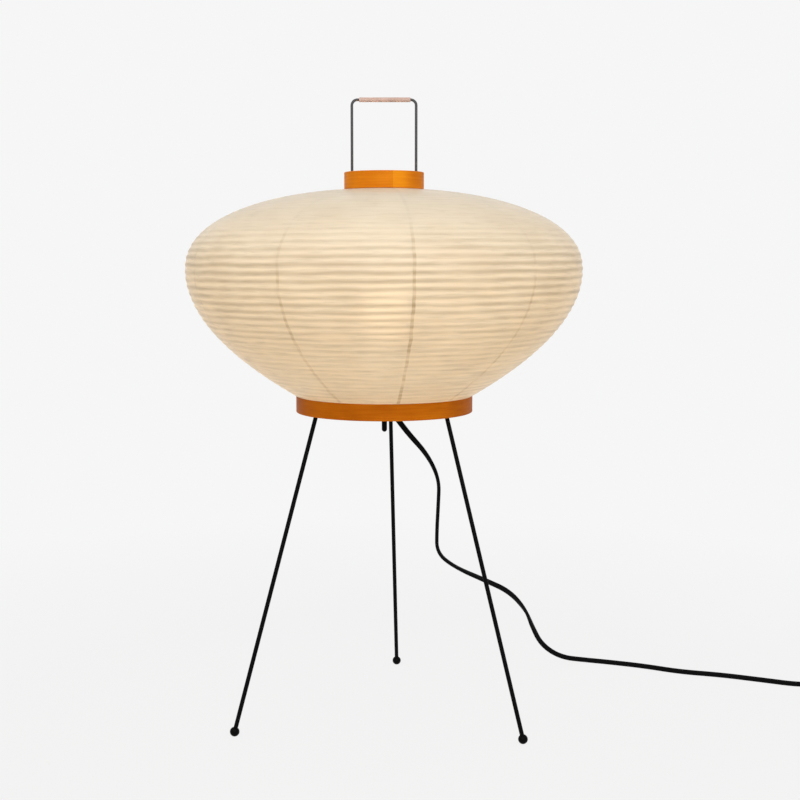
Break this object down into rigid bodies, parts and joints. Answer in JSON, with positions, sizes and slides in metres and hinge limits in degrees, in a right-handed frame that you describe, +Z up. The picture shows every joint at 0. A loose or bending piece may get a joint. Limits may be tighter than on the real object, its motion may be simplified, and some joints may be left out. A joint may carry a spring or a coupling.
{
  "type": "floor lamp",
  "caption": "Low floor lamp: ribbed paper lantern shade between bent wood hoops on a wire stretcher with carrying handle, standing on splayed rod legs with ball feet, with cord, switch and plug",
  "frame": {"origin": "On the floor under the shade's axis, in the middle of the lamp's own box without its cord.", "axes": "+Z up along the lamp's axis; -Y towards the viewer; +X to the picture's right, where the cord runs off."},
  "size_m": [0.9681, 0.5, 0.793],
  "materials": {
    "shade_paper": "matte handmade paper over fine split bamboo ribs",
    "hoop_wood": "orange brown lacquer",
    "grip_cane": "pinkish tan, dull",
    "black_steel": "satin black paint",
    "zinc_steel": "zinc plated",
    "holder_black": "moulded, glossy",
    "holder_ceramic": "unglazed",
    "lamp_brass": "bare brass",
    "bulb_nickel": "nickel plated",
    "opal_glass": "opal, lit warm white",
    "black_rubber": "matte",
    "cord_black": "soft black flex",
    "switch_black": "moulded, satin"
  },
  "bodies": {
    "stand": {"leg_front_left": "black_steel", "leg_front_right": "black_steel", "leg_back": "black_steel", "ball_feet": "black_steel", "leg_sockets": "black_steel", "leg_grub_screws": "zinc_steel", "base_plate": "black_steel", "bottom_hoop": "hoop_wood", "hoop_screws": "zinc_steel", "paper_panel_01": "shade_paper", "paper_panel_02": "shade_paper", "paper_panel_03": "shade_paper", "paper_panel_04": "shade_paper", "paper_panel_05": "shade_paper", "paper_panel_06": "shade_paper", "paper_panel_07": "shade_paper", "paper_panel_08": "shade_paper", "paper_panel_09": "shade_paper", "paper_panel_10": "shade_paper", "stretcher_wire": "black_steel", "wire_sockets": "black_steel", "handle_grip": "grip_cane", "lamp_stem": "black_steel", "stem_nuts": "zinc_steel", "holder_cup": "holder_black", "holder_shell": "holder_black", "holder_insert": "holder_ceramic", "screw_sleeve": "lamp_brass", "centre_contact": "lamp_brass", "cord_outlet": "black_rubber", "cord_run": "cord_black", "switch_base": "switch_black", "switch_cover": "switch_black", "switch_screws": "zinc_steel", "cord_coil": "cord_black", "coil_tie": "cord_black", "plug_body": "switch_black", "plug_pins": "bulb_nickel"},
    "top_collar": {"top_hoop": "hoop_wood", "wire_guides": "black_steel", "guide_grommets": "black_rubber", "guide_screws": "zinc_steel"},
    "bulb": {"bulb_insulator": "holder_black", "bulb_cap": "bulb_nickel", "bulb_glass": "opal_glass"},
    "rocker": {"switch_rocker": "switch_black"}
  },
  "joints": [
    {"name": "shade_drop", "type": "slide", "parent": "stand", "child": "top_collar", "axis": [0, 0, -1], "range_m": [0, 0.239], "deforming": ["paper_panel_01", "paper_panel_02", "paper_panel_03", "paper_panel_04", "paper_panel_05", "paper_panel_06", "paper_panel_07", "paper_panel_08", "paper_panel_09", "paper_panel_10"]},
    {"name": "bulb_screw", "type": "hinge", "parent": "stand", "child": "bulb", "pos_m": [0, 0, 0.4513], "axis": [0, 0, 1], "continuous": true},
    {"name": "switch_rock", "type": "hinge", "parent": "stand", "child": "rocker", "pos_m": [0.6452, 0.0717, 0.016], "axis": [0.3584, 0.9336, 0], "range_deg": [0, 16]}
  ]
}
